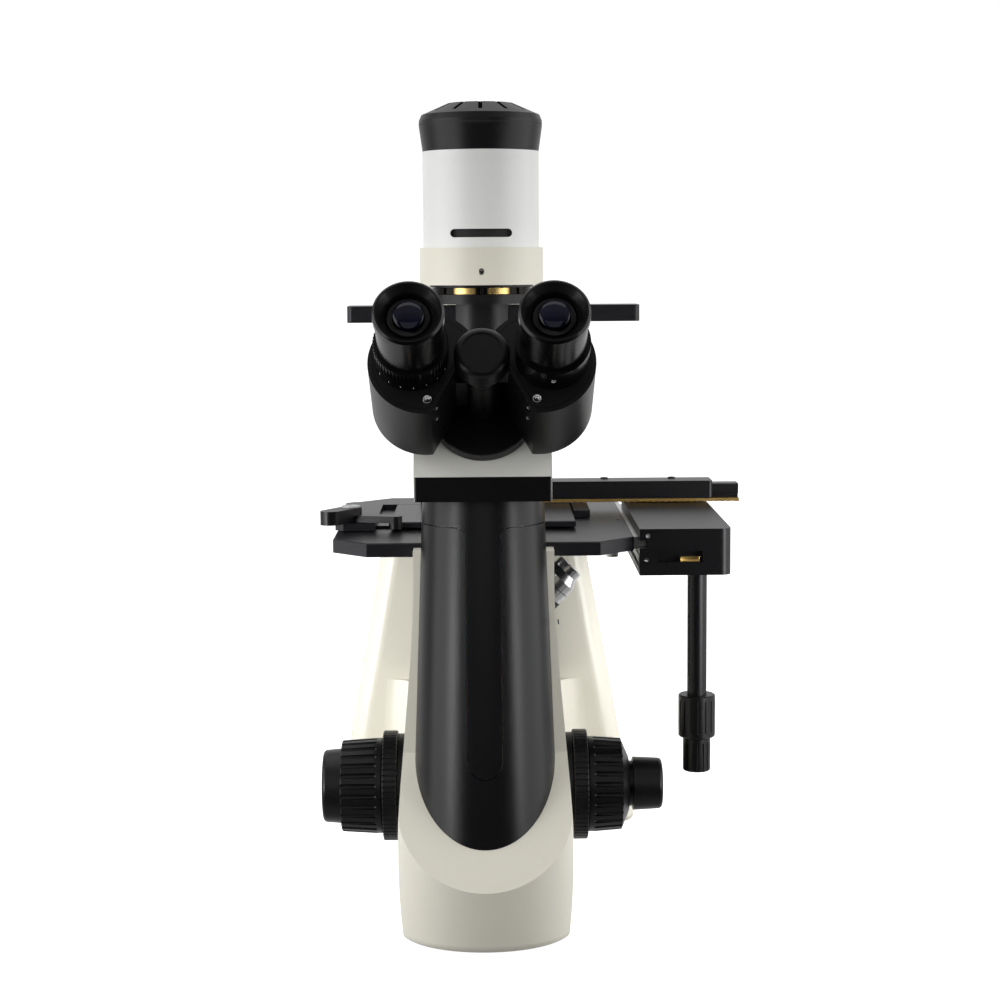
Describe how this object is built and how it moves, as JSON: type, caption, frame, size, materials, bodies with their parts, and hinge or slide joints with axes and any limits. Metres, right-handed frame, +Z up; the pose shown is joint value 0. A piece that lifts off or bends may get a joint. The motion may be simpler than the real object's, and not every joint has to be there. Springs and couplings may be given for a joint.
{
  "type": "inverted microscope",
  "caption": "Inverted compound microscope with a cast stand, binocular head, overhead lamp and condenser, mechanical stage with specimen holder, and objective turret under the stage.",
  "frame": {"origin": "on the bench surface, straight under the vertical optical axis of the stage opening", "axes": "+X to the viewer's right, +Y to the back, +Z up along the optical axis"},
  "size_m": [0.2612, 0.417, 0.466],
  "materials": {
    "cream_paint": "satin cream enamel",
    "white_paint": "satin white enamel",
    "black_paint": "satin black enamel",
    "black_texture": "fine grained black",
    "black_gloss": "gloss black",
    "black_anodised": "black anodised",
    "grey_paint": "grey enamel",
    "steel": "turned steel",
    "chrome": "satin chrome",
    "brass": "machined brass",
    "rubber": "matte rubber",
    "glass": "clear optical glass",
    "mirror": "front surface mirror"
  },
  "bodies": {
    "base": {"main_frame": "cream_paint", "bottom_plate": "grey_paint", "rubber_feet": "rubber", "column_cover": "black_texture", "column_inlay": "black_gloss", "head_block": "cream_paint", "front_panel": "black_texture", "path_mirrors": "mirror", "illumination_pillar": "cream_paint", "lamp_arm": "cream_paint", "lamp_housing": "white_paint", "lamp_cap": "black_texture", "lamp_bulb": "glass", "illuminator_lenses": "glass", "condenser_bracket": "black_paint", "condenser_body": "black_paint", "stage_plate": "black_anodised", "stage_insert": "black_anodised", "stage_rail": "steel", "focus_collars": "black_paint", "focus_guide": "steel", "head_flange": "black_paint", "hinge_cap": "black_paint", "power_inlet": "black_texture"},
    "iris": {"iris_ring": "brass"},
    "coarse_knobs": {"coarse_knob_left": "black_gloss", "coarse_knob_right": "black_gloss", "coarse_sleeve": "steel"},
    "fine_knobs": {"fine_knob_left": "black_gloss", "fine_knob_right": "black_gloss", "fine_shaft": "steel"},
    "tension_adjuster": {"tension_ring": "black_gloss"},
    "limit_stop": {"limit_ring": "black_gloss"},
    "nosepiece_carriage": {"focus_carriage": "black_paint"},
    "turret": {"turret_dome": "chrome", "objective_10x": "chrome", "objective_4x": "chrome", "objective_20x": "chrome", "objective_40x": "chrome"},
    "y_carriage": {"y_block": "black_anodised", "x_guide": "black_anodised", "drive_tube": "black_paint"},
    "x_carriage": {"x_bar": "black_anodised", "x_rack": "brass", "specimen_holder": "black_anodised", "holder_insert": "black_anodised"},
    "clip": {"clip_lever": "black_paint"},
    "y_drive_knob": {"y_knob": "black_gloss"},
    "x_drive_knob": {"x_knob": "black_gloss"},
    "slider": {"phase_slider": "black_anodised"},
    "left_wing": {"left_prism_housing": "black_paint", "left_top_plate": "black_paint", "left_eyepiece": "black_gloss", "left_prism": "glass"},
    "right_wing": {"right_prism_housing": "black_paint", "right_top_plate": "black_paint", "right_eyepiece": "black_gloss", "right_prism": "glass"},
    "diopter": {"diopter_ring": "black_gloss"},
    "dial": {"brightness_dial": "black_gloss"}
  },
  "joints": [
    {"name": "focus_lift", "type": "slide", "parent": "base", "child": "nosepiece_carriage", "axis": [0, 0, 1], "range_m": [-0.007, 0.0015]},
    {"name": "coarse_spin", "type": "hinge", "parent": "base", "child": "coarse_knobs", "pos_m": [0, -0.06, 0.058], "axis": [1, 0, 0], "range_deg": [-67, 14.5]},
    {"name": "fine_spin", "type": "hinge", "parent": "base", "child": "fine_knobs", "pos_m": [0, -0.06, 0.058], "axis": [1, 0, 0], "continuous": true},
    {"name": "tension_turn", "type": "hinge", "parent": "base", "child": "tension_adjuster", "pos_m": [0, -0.06, 0.058], "axis": [1, 0, 0], "range_deg": [-30, 30]},
    {"name": "limit_turn", "type": "hinge", "parent": "base", "child": "limit_stop", "pos_m": [0, -0.06, 0.058], "axis": [1, 0, 0], "range_deg": [-30, 30]},
    {"name": "turret_spin", "type": "hinge", "parent": "nosepiece_carriage", "child": "turret", "pos_m": [0, 0, 0.1276], "axis": [0.3827, 0, 0.9239], "continuous": true},
    {"name": "y_travel", "type": "slide", "parent": "base", "child": "y_carriage", "axis": [0, 1, 0], "range_m": [-0.039, 0.039]},
    {"name": "y_knob_spin", "type": "hinge", "parent": "y_carriage", "child": "y_drive_knob", "pos_m": [0.127, -0.06, 0.1], "axis": [0, 0, 1], "range_deg": [-320, 320]},
    {"name": "x_travel", "type": "slide", "parent": "y_carriage", "child": "x_carriage", "axis": [1, 0, 0], "range_m": [-0.04, 0.02]},
    {"name": "x_knob_spin", "type": "hinge", "parent": "y_carriage", "child": "x_drive_knob", "pos_m": [0.127, -0.06, 0.08], "axis": [0, 0, 1], "range_deg": [-328, 164]},
    {"name": "clip_swing", "type": "hinge", "parent": "x_carriage", "child": "clip", "pos_m": [-0.079, -0.051, 0.2175], "axis": [0, 0, 1], "range_deg": [-35, 0], "stiffness_Nm_per_rad": 0.05, "springref_deg": 5.73},
    {"name": "phase_slide", "type": "slide", "parent": "base", "child": "slider", "axis": [1, 0, 0], "range_m": [-0.044, 0.044]},
    {"name": "iris_turn", "type": "hinge", "parent": "base", "child": "iris", "pos_m": [0, 0, 0.34], "axis": [0, 0, 1], "range_deg": [-40, 40]},
    {"name": "left_wing_swing", "type": "hinge", "parent": "base", "child": "left_wing", "pos_m": [0, -0.149, 0.2878], "axis": [0, -0.866, 0.5], "range_deg": [0, 40]},
    {"name": "right_wing_swing", "type": "hinge", "parent": "base", "child": "right_wing", "pos_m": [0, -0.149, 0.2878], "axis": [0, -0.866, 0.5], "range_deg": [-40, 0]},
    {"name": "diopter_turn", "type": "hinge", "parent": "left_wing", "child": "diopter", "pos_m": [-0.0366, -0.1475, 0.2904], "axis": [0, -0.866, 0.5], "range_deg": [-90, 90]},
    {"name": "brightness_turn", "type": "hinge", "parent": "base", "child": "dial", "pos_m": [0.0482, -0.005, 0.045], "axis": [1, 0, 0], "range_deg": [0, 270]}
  ],
  "couplings": [
    {"joint": "coarse_spin", "follows": "focus_lift", "rad_per_m": 166.67},
    {"joint": "y_knob_spin", "follows": "y_travel", "rad_per_m": 142.86},
    {"joint": "x_knob_spin", "follows": "x_travel", "rad_per_m": 142.86},
    {"joint": "right_wing_swing", "follows": "left_wing_swing", "ratio": -1}
  ]
}
